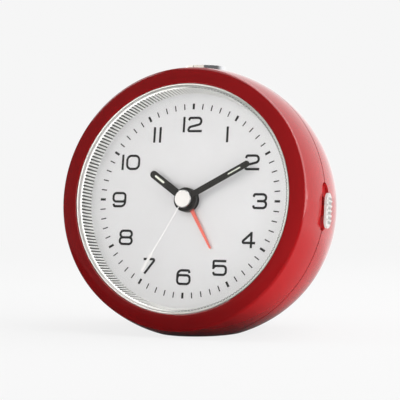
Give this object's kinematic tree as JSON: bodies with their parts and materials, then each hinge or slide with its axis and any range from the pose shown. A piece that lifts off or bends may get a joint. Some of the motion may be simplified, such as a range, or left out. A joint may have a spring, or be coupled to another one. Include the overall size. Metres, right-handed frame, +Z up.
{
  "type": "analog alarm clock",
  "caption": "Analog alarm clock: leaning barrel case with a flat rest face, ribbed dial ring, clock and alarm hands, top snooze button, side alarm slider, rear setting knobs and battery door.",
  "frame": {"origin": "middle of the flat rest face under the case, where it stands", "axes": "+Z up, the dial looks towards -Y and leans back by 8.5 degrees, +X to the right of the dial as seen from the front"},
  "size_m": [0.1, 0.0688, 0.0975],
  "materials": {
    "shell_red": "gloss",
    "lens_clear": "clear",
    "ring_silver": "satin",
    "dial_silver": "satin",
    "hand_grey": "satin",
    "lume": "matte",
    "hand_coral": "satin",
    "hand_silver": "satin",
    "button_chrome": "polished",
    "slider_white": "satin",
    "frame_plastic": "matte",
    "movement_plastic": "matte",
    "gear_plastic": "matte",
    "knob_black": "matte",
    "steel": "satin",
    "winding": "enamelled",
    "board": "matte",
    "cell": "satin",
    "spring_metal": "satin"
  },
  "bodies": {
    "case": {"front_shell": "shell_red", "rear_shell": "shell_red", "lens": "lens_clear", "dial_ring": "ring_silver", "dial": "dial_silver", "dial_carrier": "frame_plastic", "carrier_screws": "steel", "case_screws": "steel", "movement_case_front": "movement_plastic", "movement_case_rear": "movement_plastic", "movement_screws": "steel", "stator": "steel", "coil": "winding", "circuit_board": "board", "quartz_crystal": "steel", "battery": "cell", "battery_plus_contact": "spring_metal", "battery_minus_contact": "spring_metal", "sounder": "spring_metal", "snooze_switch": "movement_plastic", "alarm_switch": "movement_plastic"},
    "minute": {"minute_hand": "hand_grey", "minute_lume": "lume", "cannon_pinion": "gear_plastic", "clutch_wheel": "gear_plastic"},
    "hour": {"hour_hand": "hand_grey", "hour_lume": "lume", "hour_wheel": "gear_plastic"},
    "motion": {"motion_wheel": "gear_plastic"},
    "second": {"second_hand": "hand_silver", "seconds_wheel": "gear_plastic"},
    "third": {"third_wheel": "gear_plastic"},
    "intermediate": {"intermediate_wheel": "gear_plastic"},
    "motor_rotor": {"rotor": "gear_plastic"},
    "time_setting": {"time_knob": "knob_black", "time_set_arbor": "gear_plastic"},
    "alarm": {"alarm_hand": "hand_coral", "alarm_wheel": "gear_plastic"},
    "alarm_setting": {"alarm_knob": "knob_black", "alarm_set_arbor": "gear_plastic"},
    "snooze": {"snooze_button": "button_chrome", "snooze_plunger": "knob_black"},
    "alarm_switching": {"alarm_slider": "slider_white"},
    "door": {"battery_door": "shell_red"}
  },
  "joints": [
    {"name": "minute_spin", "type": "hinge", "parent": "case", "child": "minute", "pos_m": [0, -0.01238, 0.0482], "axis": [0, 0.989, -0.1478], "continuous": true},
    {"name": "hour_spin", "type": "hinge", "parent": "case", "child": "hour", "pos_m": [0, -0.01238, 0.0482], "axis": [0, 0.989, -0.1478], "continuous": true},
    {"name": "motion_spin", "type": "hinge", "parent": "case", "child": "motion", "pos_m": [-0.0106, -0.01236, 0.04832], "axis": [0, 0.989, -0.1478], "continuous": true},
    {"name": "second_spin", "type": "hinge", "parent": "case", "child": "second", "pos_m": [0, -0.01238, 0.0482], "axis": [0, 0.989, -0.1478], "continuous": true},
    {"name": "third_spin", "type": "hinge", "parent": "case", "child": "third", "pos_m": [0.0053, -0.01374, 0.03912], "axis": [0, 0.989, -0.1478], "continuous": true},
    {"name": "intermediate_spin", "type": "hinge", "parent": "case", "child": "intermediate", "pos_m": [-0.00829, -0.01283, 0.04522], "axis": [0, 0.989, -0.1478], "continuous": true},
    {"name": "rotor_spin", "type": "hinge", "parent": "case", "child": "motor_rotor", "pos_m": [-0.01075, -0.01383, 0.03852], "axis": [0, 0.989, -0.1478], "continuous": true},
    {"name": "time_knob_spin", "type": "hinge", "parent": "case", "child": "time_setting", "pos_m": [-0.0095, -0.01061, 0.06007], "axis": [0, 0.989, -0.1478], "continuous": true},
    {"name": "alarm_spin", "type": "hinge", "parent": "case", "child": "alarm", "pos_m": [0, -0.01238, 0.0482], "axis": [0, 0.989, -0.1478], "continuous": true},
    {"name": "alarm_knob_spin", "type": "hinge", "parent": "case", "child": "alarm_setting", "pos_m": [0.0095, -0.01061, 0.06007], "axis": [0, 0.989, -0.1478], "continuous": true},
    {"name": "snooze_press", "type": "slide", "parent": "case", "child": "snooze", "axis": [0, -0.1478, -0.989], "range_m": [0, 0.0007], "stiffness_N_per_m": 1000, "springref_m": -0.0008},
    {"name": "alarm_slide", "type": "slide", "parent": "case", "child": "alarm_switching", "axis": [0, 0.1478, 0.989], "range_m": [0, 0.003]},
    {"name": "door_swing", "type": "hinge", "parent": "case", "child": "door", "pos_m": [0, 0.03394, 0.02662], "axis": [-1, 0, 0], "range_deg": [0, 90]}
  ],
  "couplings": [
    {"joint": "hour_spin", "follows": "minute_spin", "ratio": 0.083333},
    {"joint": "motion_spin", "follows": "minute_spin", "ratio": -0.33333},
    {"joint": "time_knob_spin", "follows": "minute_spin", "ratio": 0.66667},
    {"joint": "third_spin", "follows": "minute_spin", "ratio": -8},
    {"joint": "second_spin", "follows": "minute_spin", "ratio": 60},
    {"joint": "intermediate_spin", "follows": "minute_spin", "ratio": -360},
    {"joint": "rotor_spin", "follows": "minute_spin", "ratio": 1800},
    {"joint": "alarm_knob_spin", "follows": "alarm_spin", "ratio": -1.2174}
  ]
}
